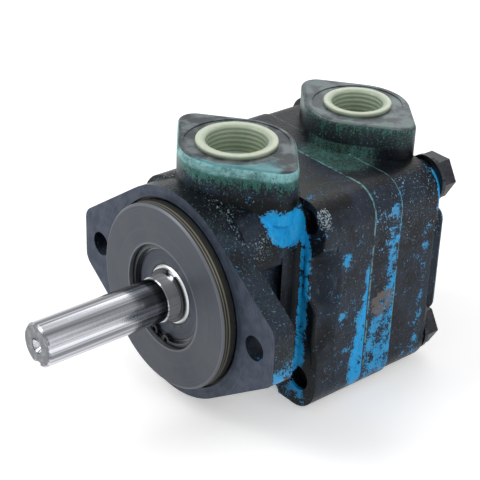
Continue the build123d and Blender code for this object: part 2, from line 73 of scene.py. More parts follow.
class Value:
    """A socket of a finish with arithmetic: each operator adds the Math node that it needs."""

    def __init__(self, finish, socket):
        self.finish, self.socket = finish, socket

    def work(self, operation, *terms):
        return self.finish.add("ShaderNodeMath", {"operation": operation}, dict(enumerate(terms)))

    def __add__(self, other):
        return self.work("ADD", self, other)

    def __sub__(self, other):
        return self.work("SUBTRACT", self, other)

    def __rsub__(self, other):
        return self.work("SUBTRACT", other, self)

    def __mul__(self, other):
        return self.work("MULTIPLY", self, other)

    def __truediv__(self, other):
        return self.work("DIVIDE", self, other)

    def __pow__(self, other):
        return self.work("POWER", self, other)

    def __abs__(self):
        return self.work("ABSOLUTE", self)

    def most(self, other):
        return self.work("MAXIMUM", self, other)

    def least(self, other):
        return self.work("MINIMUM", self, other)

    __radd__ = __add__
    __rmul__ = __mul__


class Finish:
    """One node material on object coordinates; x, y and z are in millimetres."""

    def __init__(self, name, **fixed):
        self.material = bpy.data.materials.new(name)
        self.material.use_nodes = True
        self.tree = self.material.node_tree
        self.shader = self.tree.nodes["Principled BSDF"]
        for socket, value in fixed.items():
            self.shader.inputs[socket.replace("_", " ")].default_value = value
        self.spot = self.add("ShaderNodeTexCoord", out="Object")
        self.x, self.y, self.z = (
            self.add("ShaderNodeSeparateXYZ", {}, {0: self.spot}, out=i) / MM for i in range(3)
        )

    def add(self, kind, settings=None, sockets=None, out=0):
        """Add a node: settings first, then the values or links of its sockets; returns one output."""
        node = self.tree.nodes.new(kind)
        for key, value in (settings or {}).items():
            setattr(node, key, value)
        for key, value in (sockets or {}).items():
            if isinstance(value, Value):
                self.tree.links.new(value.socket, node.inputs[key])
            else:
                node.inputs[key].default_value = value
        return Value(self, node.outputs[out])

    def step(self, value, start, end):
        """0 before start and 1 after end, smooth between; start may be the larger one."""
        return self.add(
            "ShaderNodeMapRange", {"interpolation_type": "SMOOTHSTEP"},
            {"Value": value, "From Min": start, "From Max": end},
        )

    def band(self, value, low, high, soft):
        """1 between low and high, falling to 0 within soft outside them."""
        return self.step(value, low - soft, low) * self.step(value, high + soft, high)

    def grain(self, size, detail=4.0, stretch=(1, 1, 1), shift=0.0, rough=0.6):
        """Noise between 0 and 1 with lumps of about size millimetres, longer along stretched axes."""
        placed = self.add(
            "ShaderNodeMapping", {"vector_type": "POINT"},
            {"Vector": self.spot, "Location": (shift, shift * 2, shift * 3),
             "Scale": tuple(1 / s for s in stretch)},
        )
        return self.add(
            "ShaderNodeTexNoise", {},
            {"Vector": placed, "Scale": 1 / (size * MM), "Detail": detail, "Roughness": rough},
        )

    def mix(self, share, under, over):
        """Colour under where share is 0 and over where it is 1."""
        return self.add("ShaderNodeMix", {"data_type": "RGBA"}, {0: share, 6: under, 7: over}, out=2)

    def blend(self, share, under, over):
        """Number under where share is 0 and over where it is 1."""
        return under * (1 - share) + over * share

    def flakes(self, cover, grain, edge=0.025):
        """Paint left where its cover beats the grain, with a crisp chipped edge."""
        return self.step(cover - grain, -edge, edge)

    def ball(self, place, size, soft):
        """1 within size of a place in millimetres, 0 beyond soft more."""
        gap = self.add(
            "ShaderNodeVectorMath", {"operation": "DISTANCE"},
            {0: self.spot, 1: tuple(p * MM for p in place)}, out="Value",
        ) / MM
        return self.step(gap, size + soft, size)

    def axis_radius(self, first, second):
        """Distance from an axis, from the two coordinates across it."""
        return (first * first + second * second) ** 0.5

    def surface(self, colour, roughness, metal=None, height=None, depth=0.3, strength=1.0):
        """Feed the shader; height is a relief of 0 to 1 that is depth millimetres high."""
        for name, value in (("Base Color", colour), ("Roughness", roughness), ("Metallic", metal)):
            if isinstance(value, Value):
                self.tree.links.new(value.socket, self.shader.inputs[name])
            elif value is not None:
                self.shader.inputs[name].default_value = value
        if height is not None:
            relief = self.add(
                "ShaderNodeBump", {}, {"Height": height, "Distance": depth * MM, "Strength": strength},
                out="Normal",
            )
            self.tree.links.new(relief.socket, self.shader.inputs["Normal"])
        return self.material


BLUE, BLUE_DEEP = tint("18a3e6"), tint("0c78b4")
TEAL, TEAL_PALE, TEAL_DARK = tint("3c756c"), tint("8cc8cd"), tint("214640")
COAT_DARK, COAT_MID, COAT_PALE = tint("0e1219"), tint("202936"), tint("5b6d84")
# Near black: painted shade for the castings' roots, and the dark mating faces at the seam.
SHADE_AND_SEAM_DARK = tint("0c0d0f")
MACHINED, MACHINED_PALE = tint("4a4e56"), tint("7b828c")


def worn_paint(f, blue_cover, teal_cover, pale_cover, foot):
    """Dark coat over old blue and teal paint.

    The cover maps say where the older paint shows, and foot says where shade is painted in: it darkens the
    roots with painted shade.
    """
    broad = f.grain(14, 3)
    patch = f.grain(5.5, 6, shift=0.31, rough=0.7)
    fine = f.grain(0.8, 3, shift=0.17, rough=0.7)
    scuff = f.grain(2.2, 5, stretch=(1, 1, 3.2), shift=0.53, rough=0.72)
    coat = f.mix(f.step(broad, 0.38, 0.6), COAT_DARK, COAT_MID)
    coat = f.mix(f.step(scuff, 0.54, 0.76) * 0.42, coat, COAT_PALE)
    speck = f.step(f.grain(0.9, 2, shift=0.91), 0.62, 0.68) * f.step(patch, 0.5, 0.62)
    coat = f.mix(speck * 0.6, coat, tint("8aa3b0"))
    # Painted shade: foot darkens the roots towards near black.
    coat = f.mix(foot * 0.85, coat, SHADE_AND_SEAM_DARK)
    chip = f.step(patch * 0.6 + fine * 0.4, 0.32, 0.68)
    blue = f.flakes(blue_cover, chip, 0.06)
    teal = f.step(teal_cover - f.step(scuff * 0.45 + fine * 0.55, 0.3, 0.7), -0.18, 0.22)
    pale = f.flakes(pale_cover, f.step(fine * 0.75 + patch * 0.25, 0.32, 0.68), 0.08)
    blue_tone = f.mix(f.step(scuff, 0.42, 0.7) * 0.5, BLUE, BLUE_DEEP)
    blue_tone = f.mix(f.step(fine, 0.56, 0.7) * 0.3, blue_tone, tint("8fd2ef"))
    blue_tone = f.mix(f.step(blue_cover, 0.75, 0.4) * 0.35, blue_tone, tint("5b7f92"))
    # Paler teal where the teal cover is highest, at the inlet boss's upper edge: partly edge wear, partly
    # painted highlight.
    worn = f.step(teal_cover, 0.6, 0.86)
    teal_tone = f.mix(f.step(scuff * 0.62 + worn * 0.26, 0.42, 0.66), TEAL, TEAL_PALE)
    teal_tone = f.mix(f.step(broad, 0.58, 0.42) * 0.5, teal_tone, TEAL_DARK)
    teal_tone = f.mix(f.step(fine, 0.55, 0.72) * 0.35, teal_tone, tint("b9dcd8"))
    colour = f.mix(blue, coat, blue_tone)
    colour = f.mix(teal * 0.92, colour, teal_tone)
    colour = f.mix(pale * 0.8, colour, tint("a9bcc6"))
    rough = f.blend(blue.most(teal), 0.27 + fine * 0.2, 0.36)
    relief = f.grain(1.5, 4, shift=0.77) * 0.5 + f.grain(4.5, 3, shift=0.27) * 0.3 + blue.most(pale) * 0.2
    return colour, rough, relief


def ground_metal(f, colour, radius, ring_size, tone=0.5):
    """Turned marks: fine rings about an axis, from noise on the distance from it."""
    line = f.add("ShaderNodeCombineXYZ", {}, {0: radius * MM, 1: f.y * MM * 0.02, 2: 0.0})
    rings = f.add(
        "ShaderNodeTexNoise", {}, {"Vector": line, "Scale": 1 / (ring_size * MM), "Detail": 3.0}
    )
    return f.mix(f.step(rings, 0.3, 0.75) * tone, colour, MACHINED_PALE), rings


def port_thread(f, port, radius):
    """Where a port's wall is, and its colour: painted highlight on the crests and painted shade in the roots
    at the thread's pitch, with oil stains.
    """
    wall = f.step(port, radius + 0.5, radius + 0.2) * f.step(f.z, 35, 36)
    wall = wall * f.step(f.z, PORT_SEAT - 0.2, PORT_SEAT - 0.4)
    wave = f.add("ShaderNodeMath", {"operation": "SINE"}, {0: f.z * (2 * pi / THREAD_PITCH)})
    oil = f.step(f.grain(5, 4, shift=0.37), 0.4, 0.65)
    # Painted highlight and shade: bright crests and dark roots in bands at the thread's pitch.
    painted_thread_shading = f.mix(f.step(wave, -0.7, 0.7), tint("2a2b2c"), tint("7f8387"))
    return wall, f.mix(oil * 0.5, painted_thread_shading, tint("3a342a"))


def wall_maps(f):
    """Maps of both castings: the right wall, a ragged shift in millimetres and where flakes gather."""
    side = f.step(f.x, SIDE - 5, SIDE - 1.5)
    ragged = (f.grain(7, 4, shift=0.12) - 0.5) * 14
    patchy = f.step(f.grain(20, 3, shift=1.9), 0.46, 0.64)
    return side, ragged, patchy


def front_blue(f):
    """Cover of blue paint on the front body: ledge, hump, seam and spots."""
    side, ragged, patchy = wall_maps(f)
    strip = f.band(f.y, BLOCK_FRONT - 0.6, BLOCK_FRONT + 1.1, 0.8) * f.band(f.x, 34.5, 39.5, 3.5)
    strip = strip * f.band(f.z + ragged, -46, 30, 4)
    hump = f.ball((28, 33, 36), 8.5, 5) * f.step(f.y, BLOCK_FRONT + 0.9, BLOCK_FRONT + 0.1)
    stripe_front = SEAM - 1.1 - f.step(f.z, 12, -42) * 7
    seam_strip = f.step(f.y - stripe_front, -3.0, 1.5) * side * f.step(f.z, 18, 6)
    scatter = side * f.band(f.y, 50, SEAM - 0.5, 3) * f.step(f.z, 34, 24)
    spots = f.ball((SIDE, 53, 21), 1.0, 4) + f.ball((SIDE, 52, -7), 0.5, 3)
    seam_line = f.step(f.y, SEAM - 1.1, SEAM - 0.3) * side
    far_side = f.step(f.x, 3 - SIDE, 0.5 - SIDE)
    low_ledge = f.band(f.y, BLOCK_FRONT - 1, BLOCK_FRONT + 1.5, 1) * f.step(f.z, -40, -50)
    boss_stripe = f.ball((34, 43, 52), 3, 4)
    ear_edge = f.band(f.y, 0.5, FLANGE_REAR + 0.1, 0.5) * f.step(f.x, 50, 57) * f.step(f.z, 5, -10)
    blue = 0.03 + patchy * 0.1 + strip * 0.66 + hump * 1.1 + seam_strip * 0.56 + scatter * 0.1
    blue = blue + seam_line * 0.2 + spots * 0.42 + far_side * patchy * 0.26 + low_ledge * 0.3
    return blue + boss_stripe * 0.5 + ear_edge * 0.5


def front_paint(f, wide):
    """Painted skin of the front body, with a pale painted highlight along the inlet boss's upper edge."""
    ragged = wall_maps(f)[1]
    boss_side = f.step(f.z, 44, 48) * f.step(f.y, 60, 57.6)
    teal = boss_side * (0.16 + f.step(f.z, 49, 60.5) * 0.72)
    hole = f.axis_radius(abs(f.x) - EAR_HOLE, f.z)
    rim_edge = f.band(f.y, 0.3, FLANGE_REAR + 0.3, 0.3) * f.step(wide, 44.5, 47) * f.step(hole, 6, 7)
    neck_ridge = f.band(f.y, FLANGE_REAR + 0.1, 22, 3) * f.band(wide, 40, 48, 2) * f.step(f.z, 20, 30)
    teal = teal.most(rim_edge * 0.16).most(neck_ridge * 0.2)
    corner = f.band(f.x, 43.5, 50, 1) * f.band(f.y + ragged * 0.2, 39, 44, 1.5)
    corner = corner * f.band(f.z + ragged * 0.3, 39, 46.5, 2)
    pale = (corner * 0.42).most((neck_ridge * 0.2).most(rim_edge * 0.03))
    # Painted shade: foot darkens the neck's roots behind the flange and in front of the block, and the inlet
    # boss's root.
    foot = f.band(f.y, FLANGE_REAR + 0.1, 14, 3) * f.step(wide, 47, 40)
    foot = foot + f.band(f.y, 34, BLOCK_FRONT - 0.5, 3) * f.step(f.z, 43, 40)
    foot = foot.least(1).most(f.band(f.z, 44, 48, 2) * f.step(f.y, 60, 57.6))
    colour, rough, relief = worn_paint(f, front_blue(f), teal, pale, foot)
    # Painted highlight: pale cyan along the inlet boss's upper edge, broken up by grain.
    painted_rim_highlight = f.band(f.z, 58.5, PORT_SEAT - 0.3, 1.5) * boss_side
    rim_highlight_breakup = f.step(f.grain(2.2, 6, stretch=(1.6, 1, 1), shift=0.45, rough=0.75), 0.4, 0.66)
    return f.mix(painted_rim_highlight * rim_highlight_breakup * 0.6, colour, tint("9cc8cb")), rough, relief


def pilot_metal(f, wide):
    """Turned pilot: its end face, its scored olive side and a thin bright edge; also returns the rings."""
    turned, rings = ground_metal(f, MACHINED, wide, 0.7, 0.14)
    turned = f.mix(f.step(f.grain(11, 4, shift=0.66), 0.35, 0.65) * 0.5, turned, tint("55585a"))
    end_face = f.step(f.y, 0.2 - PILOT_LENGTH, -0.2 - PILOT_LENGTH)
    olive = f.mix(f.grain(1.5, 3, stretch=(3, 0.6, 3)), tint("2a2a28"), tint("4f4e47"))
    scored = f.band(abs(f.y + 2.9), 0, 0.25, 0.2).most(f.band(abs(f.y + 4.3), 0, 0.15, 0.15))
    olive = f.mix(scored * 0.7, olive, tint("9a978a"))
    edge = f.band(wide, 40.1, 41.0, 0.25) * end_face
    tone = f.mix(edge * 0.25, f.mix(end_face, olive, turned), tint("8d9196"))
    return tone, rings


def inlet_seat(f, port):
    """Top of the inlet boss: stained metal, washed with teal outside the machined seat."""
    stain = f.grain(7, 5, shift=1.4)
    tone = f.mix(f.step(stain, 0.4, 0.62), tint("3a4044"), tint("666e70"))
    wash = f.step(stain * 0.5 + f.ball((20, 14, 62), 10, 22) * 0.34, 0.36, 0.56)
    return f.mix(wash * (1 - f.band(port, 0, 22.3, 0.15)) * 0.6, tone, tint("5b9aa0"))


def front_casting():
    """Finish of the front body: machined flange, pilot and port face over the painted casting."""
    f = Finish("front_casting", Specular_IOR_Level=0.16)
    wide = f.axis_radius(f.x, f.z)
    port = f.axis_radius(f.x, f.y - INLET_Y)
    colour, rough, relief = front_paint(f, wide)
    pilot_tone, rings = pilot_metal(f, wide)
    slate = f.mix(f.step(f.grain(6, 5, shift=0.9), 0.35, 0.7), tint("343c4a"), tint("474f5e"))
    slate = f.mix(f.step(rings, 0.45, 0.7) * 0.2, slate, MACHINED_PALE)
    face = f.step(f.y, 0.3, 0.1) * f.step(f.y, -0.3, -0.1)
    pilot = f.step(f.y, -0.25, -0.45)
    top = f.step(f.z, PORT_SEAT - 0.3, PORT_SEAT - 0.1)
    # Painted shade: the groove round the pilot's root is painted near black.
    painted_groove_shade = f.band(wide, 41.2, 42.6, 0.1) * f.step(f.y, 0.1, 0.3) * f.step(f.y, 3, 2)
    inner = f.step(wide, 24.6, 23.9) * f.step(f.z, 35, 30)
    joint = f.step(f.y, SEAM - 0.5, SEAM - 0.2)
    thread, painted_thread_shading = port_thread(f, port, INLET_BORE)
    for share, tone in (
        (face, slate), (pilot, pilot_tone), (top, inlet_seat(f, port)), (painted_groove_shade, tint("141516")),
        (inner, tint("6b6f74")), (joint * 0.8, SHADE_AND_SEAM_DARK), (thread, painted_thread_shading),
    ):
        colour = f.mix(share, colour, tone)
    machined = face.most(pilot).most(top)
    rough = f.blend(machined, rough, 0.4 + rings * 0.14)
    relief = f.blend(machined, relief, rings * 0.04 + 0.45)
    return f.surface(colour, rough, machined.most(inner) * 0.5, relief, 0.5)


def cover_blue(f, line, corner):
    """Cover of blue paint on the rear cover: band, streaks, rear edge and parting line."""
    side, _, patchy = wall_maps(f)
    band_front = 77.5 - f.step(f.z, 10, -24) * 8
    band = side * f.step(f.y - band_front, -3, 2) * f.step(f.y, 84, 83.6) * f.step(f.z, 28, 16)
    thin = side * f.band(f.y, SEAM + 0.7, 84, 0.6) * f.step(f.z, 14, -4)
    streak = side * f.band(f.y, 80, 84.2, 3) * f.band(f.z, 22, 38, 6)
    shoulder = f.band(f.y, COVER_REAR - 3.2, COVER_REAR - 0.6, 0.8) * f.step(f.z, 26, 28)
    rear_edge = shoulder.most(f.step(f.y, COVER_REAR + 0.5, COVER_REAR + 2.4)) * f.step(f.x, 41, 45)
    rear_line = side * f.band(f.y, 100.5, 102.5, 2) * f.band(f.z, -42, 22, 8)
    rear_low = side * f.band(f.y, 95, 106, 4) * f.step(f.z, -14, -44)
    upper_rear = f.step(f.y, 100, 105) * f.band(f.x, 37, 50, 3) * f.band(f.z, 37, 50, 3)
    far_side = f.step(f.x, 3 - SIDE, 1 - SIDE)
    blue = 0.02 + patchy * 0.1 + band * 0.36 + thin * 0.12 + streak * 0.28 + rear_edge * 0.6
    blue = blue + upper_rear * 0.24 + line * side * 0.18 + far_side * patchy * 0.28
    return blue + rear_low * 0.22 + rear_line * 0.26 + corner * 0.08


def cover_paint(f):
    """Painted skin of the rear cover: grey-green boss and skirt, chalky parting lines, a rust spot, and
    painted shade at the boss's root and over the top.
    """
    side, ragged, _ = wall_maps(f)
    line = f.band(abs(f.y - 84.1 + ragged * 0.04), 0, 0.35, 0.3)
    corner = side.most(f.step(f.z, 30, 40)) * f.band(f.z, 18, 46, 5) * f.step(f.x, 36, 42)
    boss_side = f.step(f.z, 50, 53) * f.step(f.y, 76, 78)
    skirt = f.band(f.z, 46.5, 51.8, 1) * f.ball((12, 79, 49), 13, 9)
    teal = boss_side * (0.1 + f.step(f.z, 50, 61) * 0.42)
    teal = teal.most(skirt * 0.58).most(line * f.band(f.z, 47, 48, 1) * 0.7)
    teal = teal.most(f.band(f.y, SEAM - 0.1, SEAM + 0.9, 0.3) * f.band(f.z, 40, 48, 3) * 0.55)
    # Painted shade: foot darkens the outlet boss's root, and everything from the top of the block up a
    # little.
    foot = f.band(f.z, 46.5, 52, 2) * f.step(f.y, 74, 77) * (1 - skirt)
    foot = foot.most(f.step(f.z, 44, 47.2) * 0.35)
    colour, rough, relief = worn_paint(f, cover_blue(f, line, corner), teal * 0.85, corner * 0.1, foot)
    colour = f.mix(boss_side.most(skirt) * teal * 0.4, colour, tint("56635a"))
    chalk = line.most(f.band(f.y, SEAM - 0.1, SEAM + 1.1, 0.2) * 0.8) * f.step(f.z, -48, -30)
    chalk = chalk * f.step(f.z, BLOCK_TOP + 0.7, BLOCK_TOP + 0.2)
    colour = f.mix(chalk * f.step(f.grain(2.5, 4, shift=0.83), 0.42, 0.55) * 0.7, colour, tint("7fb4bf"))
    rust = f.flakes(f.ball((SIDE, 77, -8), 5, 6) * 0.56, f.grain(3, 5, shift=0.61))
    return f.mix(rust * 0.8, colour, tint("6b6460")), rough, relief


def cover_casting():
    """Finish of the rear cover: stained port face and threaded port over the painted casting."""
    f = Finish("cover_casting", Specular_IOR_Level=0.14)
    port = f.axis_radius(f.x, f.y - OUTLET_Y)
    colour, rough, relief = cover_paint(f)
    top = f.step(f.z, PORT_SEAT - 0.3, PORT_SEAT - 0.1)
    seat = f.band(port, 0, 20.0, 0.15)
    stain = f.grain(8, 5, shift=1.4)
    top_tone = f.mix(f.step(stain, 0.4, 0.62), tint("454b4e"), tint("6a7374"))
    top_tone = f.mix(f.step(stain, 0.54, 0.62) * (1 - seat) * 0.5, top_tone, tint("45635a"))
    joint = f.step(f.y, SEAM + 0.5, SEAM + 0.2)
    thread, painted_thread_shading = port_thread(f, port, OUTLET_BORE)
    for share, tone in ((top, top_tone), (joint * 0.8, SHADE_AND_SEAM_DARK), (thread, painted_thread_shading)):
        colour = f.mix(share, colour, tone)
    rough = f.blend(top, rough, 0.42)
    relief = f.blend(top, relief, f.grain(0.8) * 0.2 + 0.4)
    return f.surface(colour, rough, top * 0.6, relief, 0.45)


def shaft_steel():
    """Ground shaft: painted reflections as streaks along it, from noise on the angle about the axis, with
    handling stains.
    """
    f = Finish("shaft_steel")
    wide = f.axis_radius(f.x, f.z)
    streak = f.grain(1.1, 5, stretch=(1, 150, 1), rough=0.7)
    wide_reflection_band = f.grain(3.6, 2, stretch=(1, 150, 1), shift=0.2)
    smear = f.grain(9, 5, shift=0.4)
    marks = f.step(f.grain(0.55, 2, stretch=(20, 1, 20)), 0.45, 0.8)
    # Painted reflections: pale and dark streaks along the shaft stand in for the studio's reflections.
    colour = f.mix(f.step(streak, 0.3, 0.7), tint("8d8f94"), tint("e2e4ea"))
    colour = f.mix(f.step(wide_reflection_band, 0.42, 0.58) * 0.8, colour, tint("606266"))
    colour = f.mix(f.step(smear, 0.62, 0.8) * 0.25, colour, tint("8a8172"))
    collar = f.step(f.y, -9.7, -9.4)
    colour = f.mix(collar * 0.7, colour, tint("d9dadb"))
    tip = f.step(f.y, -67.6, -67.9)
    colour = f.mix(tip * 0.8, colour, tint("6a6b6e"))
    colour = f.mix(f.step(wide, 3.6, 3.2) * tip, colour, tint("2e2e2f"))
    rough = 0.15 + tip * 0.2 + marks * 0.05 + f.step(smear, 0.5, 0.8) * 0.1
    metal = 1 - collar * 0.35
    return f.surface(colour, rough, metal, streak * 0.8 + marks * 0.2, 0.012)


def turned_steel(name, low, high, rough, ring=0.5, stain="2b2620", metal=1.0):
    """Turned or ground steel: rings about the shaft axis between two tones, with darker stains."""
    f = Finish(name)
    wide = f.axis_radius(f.x, f.z)
    toned, rings = ground_metal(f, tint(low), wide, ring, 0.0)
    colour = f.mix(f.step(rings, 0.32, 0.7), toned, tint(high))
    old = f.step(f.grain(4, 5, shift=0.6), 0.56, 0.75)
    colour = f.mix(old * 0.4, colour, tint(stain))
    height = rings * 0.6 + f.grain(0.7, 3) * 0.4
    return f.surface(colour, rough + old * 0.15 + rings * 0.06, metal, height, 0.03)


def shield_steel():
    """Pressed bearing shield: satin grey with brighter rims and a dark ring of old grease."""
    f = Finish("shield_steel")
    wide = f.axis_radius(f.x, f.z)
    toned, rings = ground_metal(f, tint("343b48"), wide, 0.9, 0.1)
    rim = f.band(wide, 18.6, 19.5, 0.4) + f.band(wide, 14.4, 15.2, 0.3)
    colour = f.mix(rim * 0.2, toned, tint("5d646e"))
    grease = f.step(f.grain(3, 5, shift=0.2), 0.5, 0.7) * f.band(wide, 13, 15, 1)
    colour = f.mix(grease * 0.8, colour, tint("1b1a18"))
    return f.surface(colour, 0.48 + rings * 0.1, 0.15, rings * 0.3 + grease * 0.4, 0.05)


def plain_grain(name, dark, pale, rough, metal, size, depth):
    """Two tones broken by grain of a size, with a relief of the same grain."""
    f = Finish(name)
    coarse = f.grain(size * 4, 4, shift=0.3)
    fine = f.grain(size, 4)
    colour = f.mix(f.step(coarse * 0.6 + fine * 0.4, 0.35, 0.65), tint(dark), tint(pale))
    return f.surface(colour, rough + fine * 0.15, metal, fine, depth)


def cap_plastic(name, y, inner, seat):
    """Soft moulded plastic with painted light: a paler painted highlight on the rim's top, painted shade
    darker and greener down the ribbed wall with dark bands at the rib pitch, and the floor painted paler as
    painted light.
    """
    f = Finish(name, Subsurface_Weight=0.25, Subsurface_Scale=0.003, IOR=1.5)
    wide = f.axis_radius(f.x, f.y - y)
    painted_depth_shade = f.step(f.z, seat + 1.0, seat - 9)
    wall = f.band(wide, inner - 1.2, inner + 0.6, 0.3) * f.step(f.z, seat + 1.2, seat)
    wave = f.add("ShaderNodeMath", {"operation": "SINE"}, {0: f.z * (2 * pi / RIB_PITCH)})
    ribs = f.step(wave, -0.6, 0.8)
    cloud = f.grain(3.5, 4)
    colour = f.mix(cloud, tint("93a18c"), tint("b4c0aa"))
    # Painted shade: darker and greener deeper down the cup.
    colour = f.mix(painted_depth_shade * 0.6, colour, tint("7d8d76"))
    # Painted shade: dark bands at the rib pitch on the ribbed wall.
    colour = f.mix(wall * ribs * 0.45, colour, tint("56614e"))
    # Painted light: the floor of the cup is painted pale again.
    floor = f.step(f.z, seat - 10.2, seat - 10.8)
    colour = f.mix(floor * 0.85, colour, tint("b9c5b2"))
    # Painted highlight: the rim's top is painted paler.
    lip = f.step(wide, inner + 1.2, inner + 2.4) * f.step(f.z, seat + 1.2, seat + 1.6)
    colour = f.mix(lip * 0.45, colour, tint("d3dac6"))
    scratch = f.grain(1.2, 4, stretch=(1, 4, 1), shift=0.7)
    return f.surface(colour, 0.3 + scratch * 0.15, 0.0, scratch * 0.5 + cloud * 0.5, 0.08)


front_finish = front_casting()
cover_finish = cover_casting()
finishes = {
    "drive_shaft": shaft_steel(),
    "bearing_outer_ring": turned_steel("outer_ring_steel", "3a3d41", "85898e", 0.24),
    "bearing_inner_ring": turned_steel(
        "inner_ring_steel", "d6d8da", "f4f5f6", 0.3, stain="8a8c8e", metal=0.55
    ),
    "bearing_balls": plain_grain("ball_steel", "b9bcc0", "dfe1e4", 0.08, 1.0, 1.2, 0.005),
    "bearing_cage": plain_grain("cage_brass", "7d6430", "b8975a", 0.3, 1.0, 0.9, 0.03),
    "bearing_shields": shield_steel(),
    "housing_circlip": turned_steel("circlip_steel", "232426", "55585c", 0.34),
    "shaft_seal": plain_grain("seal_rubber", "0e0e0f", "1e1e20", 0.5, 0.0, 0.6, 0.08),
    "rear_bush": turned_steel("bush_bronze", "7a5a30", "b98f56", 0.3, stain="3a2a18"),
    "cam_ring": turned_steel("ground_ring_steel", "6f7378", "a6aaaf", 0.24),
    "wear_plate": turned_steel("lapped_plate_steel", "63676c", "93979c", 0.3, 0.35),
    "rotor": turned_steel("rotor_steel", "5d6166", "9ca0a5", 0.28, 0.6),
    "vane_01": plain_grain("vane_steel", "8f9398", "c2c5c9", 0.2, 1.0, 0.5, 0.02),
    "cover_bolts": plain_grain("bolt_oxide", "15161a", "34363c", 0.36, 0.7, 0.8, 0.15),
    "bolt_washers": turned_steel("washer_oxide", "1b1c1f", "44474c", 0.4, 0.6),
    "disc_springs": turned_steel("disc_spring_steel", "33363a", "6a6e73", 0.34, 0.8),
}
shared = {
    "seal_garter_spring": "housing_circlip", "shaft_circlip": "housing_circlip",
    "pressure_plate_ring": "shaft_seal", "cover_seal_ring": "shaft_seal",
    "pressure_plate": "wear_plate", "locating_pins": "vane_01",
    **{f"vane_{n:02d}": "vane_01" for n in range(2, 13)},
}
finishes["front_body"] = front_finish
finishes["rear_cover"] = cover_finish
for node, like in shared.items():
    finishes[node] = finishes[like]


# ---------------------------------------------------------------- new pieces
def add_piece(name, points, faces, material, body="housing"):
    """Put computed points (metres) and faces in a smooth mesh that rides on a body."""
    mesh = bpy.data.meshes.new(name)
    mesh.from_pydata(points.tolist(), [], faces)
    mesh.polygons.foreach_set("use_smooth", np.full(len(mesh.polygons), True))
    mesh.materials.append(material)
    mesh.update()
    piece = bpy.data.objects.new(name, mesh)
    scene.collection.objects.link(piece)
    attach(piece, body)
    return piece


def ease(share):
    """Smooth S of a share: 0 below 0 and 1 above 1."""
    share = np.clip(share, 0, 1)
    return share ** 2 * (3 - 2 * share)


def ring_faces(rows, columns):
    """Quads of a grid that closes on itself both ways."""
    u, v = np.meshgrid(np.arange(rows), np.arange(columns), indexing="ij")
    un, vn = (u + 1) % rows, (v + 1) % columns
    corners = [u * columns + v, un * columns + v, un * columns + vn, u * columns + vn]
    return np.stack(corners, -1).reshape(-1, 4)


def pole_fans(low_row, high_row, low_pole):
    """Triangles that close the first and last ring of a grid on two poles, which follow each other."""
    low = np.stack([np.full(len(low_row), low_pole), np.roll(low_row, -1), low_row], -1)
    high = np.stack([np.full(len(high_row), low_pole + 1), high_row, np.roll(high_row, -1)], -1)
    return low.tolist() + high.tolist()


def outward(points, faces):
    """Turn every face over if the closed surface's signed volume is negative."""
    a, b, c, d = (points[faces[:, k]] for k in range(4))
    volume = np.einsum("ij,ij->", a, np.cross(b, c)) + np.einsum("ij,ij->", a, np.cross(c, d))
    return faces if volume > 0 else faces[:, ::-1]


def closed_sheet(name, skin, inner, material):
    """A closed piece between a skin and an inner sheet, two grids of points in millimetres."""
    points = np.concatenate([skin, inner[:, ::-1]], axis=1)
    rows, columns = points.shape[:2]
    faces = ring_faces(rows, columns)[: (rows - 1) * columns]
    across = np.arange(skin.shape[1] - 1)
    opposite = columns - 1 - across
    for end, turn in ((0, -1), ((rows - 1) * columns, 1)):
        cap = np.stack([end + across, end + across + 1, end + opposite - 1, end + opposite], -1)
        faces = np.concatenate([faces, cap[:, ::turn]])
    points = points.reshape(-1, 3) * MM
    return add_piece(name, points, outward(points, faces).tolist(), material)


# ---- root and hoods of the neck
def hollow_profile(radius, foot, rise):
    """A concave quarter circle from the foot out to the wall, closed by two points under the skin."""
    sink = 1.5
    turn = np.linspace(0, pi / 2, 13)
    arc = np.stack([radius - radius * np.sin(turn), foot + rise * (radius - radius * np.cos(turn))], -1)
    back = [[-sink, foot + rise * radius], [-sink, foot - rise * sink], [radius, foot - rise * sink]]
    return np.concatenate([arc, np.array(back)])


def cast_root(name, circles, profile, material):
    """A rounded root around an outline across the shaft.

    The outline is the hull of circles (x, z, radius): at each angle it follows the circle that reaches
    furthest that way.  Each profile point is (distance outside the outline, station), and the closed
    profile is carried round the closed outline.
    """
    angle = np.linspace(0, 2 * pi, 360, endpoint=False)
    way = np.stack([np.cos(angle), np.sin(angle)], -1)
    circles = np.array(circles, float)
    best = np.argmax(way @ circles[:, :2].T + circles[:, 2], axis=1)
    radius = circles[best, 2][:, None] + profile[None, :, 0]
    flat = circles[best, None, :2] + radius[..., None] * way[:, None, :]
    station = np.broadcast_to(profile[None, :, 1], radius.shape)
    points = np.stack([flat[..., 0], station, flat[..., 1]], -1).reshape(-1, 3) * MM
    faces = outward(points, ring_faces(len(angle), len(profile)))
    return add_piece(name, points, faces.tolist(), material)


neck_outline = [(sx * 19, z, 16) for sx in (-1, 1) for z in (28, -26)]


def outline_reach(way, circles):
    """Distance from the axis to the hull of circles along each direction, as the least over its supports."""
    angle = np.linspace(0, 2 * pi, 720, endpoint=False)
    normal = np.stack([np.cos(angle), np.sin(angle)], -1)
    support = (normal @ np.array(circles)[:, :2].T + np.array(circles)[:, 2]).max(1)
    lean = way @ normal.T
    return np.where(lean > 1e-3, support / np.maximum(lean, 1e-3), np.inf).min(-1)


